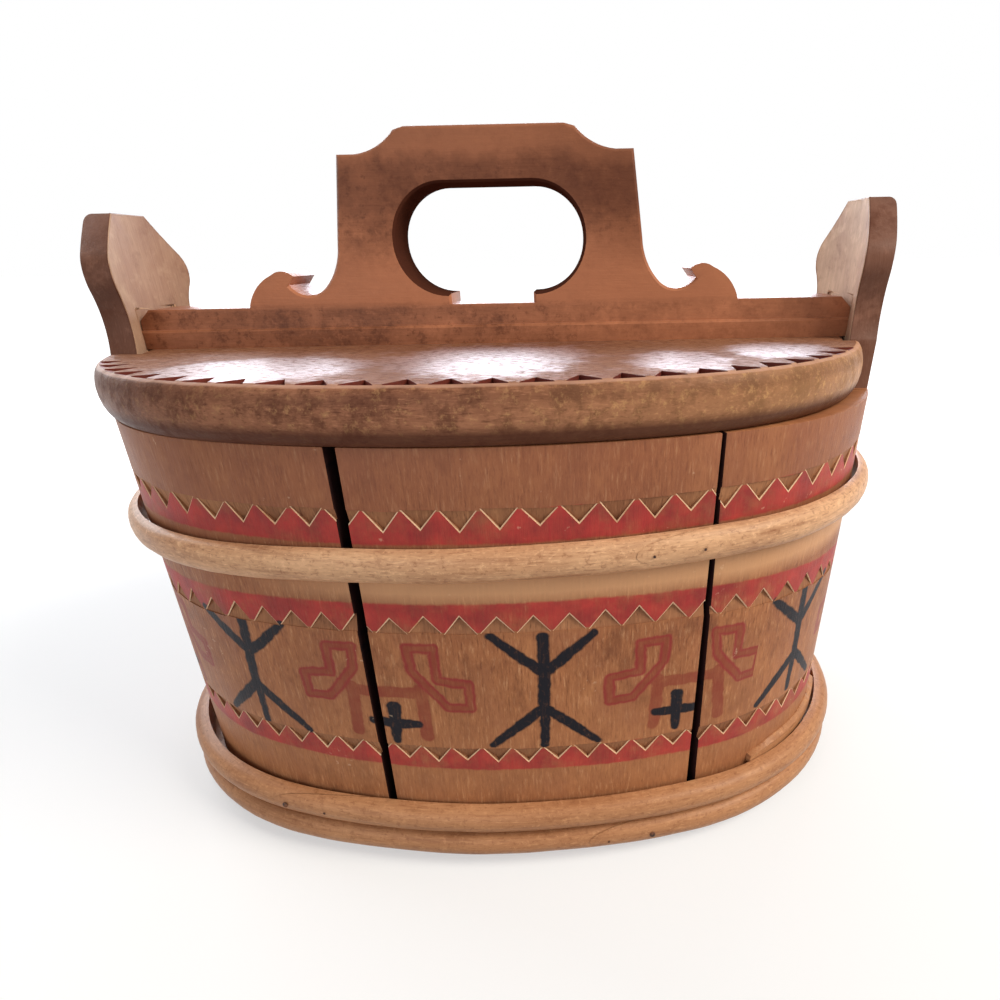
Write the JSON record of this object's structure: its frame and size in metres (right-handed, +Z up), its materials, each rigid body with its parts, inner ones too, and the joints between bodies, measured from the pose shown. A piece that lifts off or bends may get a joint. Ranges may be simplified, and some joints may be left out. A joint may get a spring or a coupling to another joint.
{
  "type": "staved box with a locking lid",
  "caption": "Oval staved wooden box with a flat lid, a carved handle board and two ears that clip the lid, held by split-rod hoops.",
  "frame": {"origin": "centre of the oval on the surface that the box stands on", "axes": "+X along the box from ear to ear, +Y from the front to the back, +Z up through the lid's handle"},
  "size_m": [0.2322, 0.1734, 0.1926],
  "materials": {
    "stave_wood": "satin",
    "lid_wood": "gloss",
    "hoop_wood": "satin",
    "peg_wood": "satin",
    "nail_iron": "dull"
  },
  "bodies": {
    "tub": {"bottom_board": "stave_wood", "front_left_stave": "stave_wood", "front_middle_stave": "stave_wood", "front_right_stave": "stave_wood", "back_left_stave": "stave_wood", "back_middle_stave": "stave_wood", "back_right_stave": "stave_wood", "middle_hoop": "hoop_wood", "upper_foot_hoop": "hoop_wood", "lower_foot_hoop": "hoop_wood", "hoop_nails": "nail_iron"},
    "left_ear": {"left_ear_stave": "stave_wood"},
    "right_ear": {"right_ear_stave": "stave_wood"},
    "lid": {"lid_board": "lid_wood", "handle_board": "lid_wood", "handle_pegs": "peg_wood"}
  },
  "joints": [
    {"name": "lid_lift", "type": "slide", "parent": "tub", "child": "lid", "axis": [0, 0, 1], "range_m": [0, 0.12]},
    {"name": "left_ear_spring", "type": "hinge", "parent": "tub", "child": "left_ear", "pos_m": [-0.0995, 0, 0.0155], "axis": [0, -1, 0], "range_deg": [0, 0.8], "stiffness_Nm_per_rad": 30},
    {"name": "right_ear_spring", "type": "hinge", "parent": "tub", "child": "right_ear", "pos_m": [0.0995, 0, 0.0155], "axis": [0, 1, 0], "range_deg": [0, 0.8], "stiffness_Nm_per_rad": 30}
  ]
}
